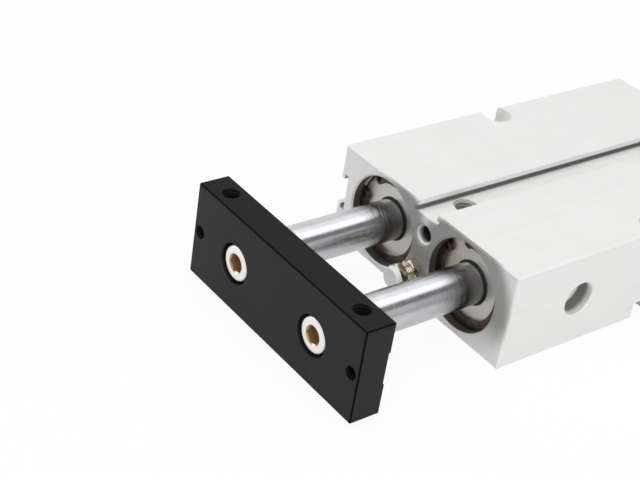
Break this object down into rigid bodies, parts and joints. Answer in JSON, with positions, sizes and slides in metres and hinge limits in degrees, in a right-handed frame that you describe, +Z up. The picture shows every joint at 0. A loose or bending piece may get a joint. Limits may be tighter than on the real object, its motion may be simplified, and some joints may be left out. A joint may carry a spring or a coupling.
{
  "type": "guided pneumatic cylinder",
  "caption": "Twin-rod guided pneumatic cylinder with a flat aluminium body, chromed rods, a black end plate, a stop bolt and side ports, shown with its rods extended.",
  "frame": {"origin": "on the base face, midway between the two mounting holes", "axes": "+X along the stroke and out of the front, +Y to the side with the ports, +Z up"},
  "size_m": [0.1385, 0.062, 0.025],
  "materials": {
    "body_alloy": "satin silver anodised",
    "black_plate": "black oxide, satin",
    "chrome_rod": "ground and chromed",
    "cover_alloy": "turned, warm grey",
    "snap_steel": "phosphated spring steel, dark brown",
    "black_rubber": "matt black",
    "bush_bronze": "oiled sintered bronze",
    "piston_alloy": "turned",
    "wear_resin": "natural resin",
    "magnet_dark": "bonded magnet",
    "white_urethane": "translucent white",
    "cushion_urethane": "amber urethane",
    "stop_steel": "nickel plated, warm",
    "screw_steel": "nickel plated, pale gold"
  },
  "bodies": {
    "housing": {"cap_ring_left": "black_rubber", "cap_ring_right": "black_rubber", "cover_ring_left": "black_rubber", "cover_ring_right": "black_rubber", "cylinder_body": "body_alloy", "front_snap_ring_left": "snap_steel", "front_snap_ring_right": "snap_steel", "guide_bush_left": "bush_bronze", "guide_bush_right": "bush_bronze", "rear_cap_left": "cover_alloy", "rear_cap_right": "cover_alloy", "rear_snap_ring_left": "snap_steel", "rear_snap_ring_right": "snap_steel", "rod_cover_left": "cover_alloy", "rod_cover_right": "cover_alloy", "rod_seal_left": "black_rubber", "rod_seal_right": "black_rubber", "rod_wiper_left": "black_rubber", "rod_wiper_right": "black_rubber", "stop_lock_nut": "stop_steel"},
    "slide_unit": {"end_plate": "black_plate", "rod_left": "chrome_rod", "plate_screw_left": "screw_steel", "piston_left": "piston_alloy", "wear_ring_left": "wear_resin", "magnet_ring_left": "magnet_dark", "piston_seal_left": "black_rubber", "piston_nut_left": "stop_steel", "front_cushion_left": "cushion_urethane", "rear_cushion_left": "cushion_urethane", "rod_right": "chrome_rod", "plate_screw_right": "screw_steel", "piston_right": "piston_alloy", "wear_ring_right": "wear_resin", "magnet_ring_right": "magnet_dark", "piston_seal_right": "black_rubber", "piston_nut_right": "stop_steel", "front_cushion_right": "cushion_urethane", "rear_cushion_right": "cushion_urethane"},
    "stop_screw": {"stop_bolt": "stop_steel", "stop_bumper": "white_urethane"}
  },
  "joints": [
    {"name": "rod_slide", "type": "slide", "parent": "housing", "child": "slide_unit", "axis": [1, 0, 0], "range_m": [-0.025, 0]},
    {"name": "stop_adjust", "type": "slide", "parent": "housing", "child": "stop_screw", "axis": [1, 0, 0], "range_m": [-0.0016, 0.0007]}
  ]
}
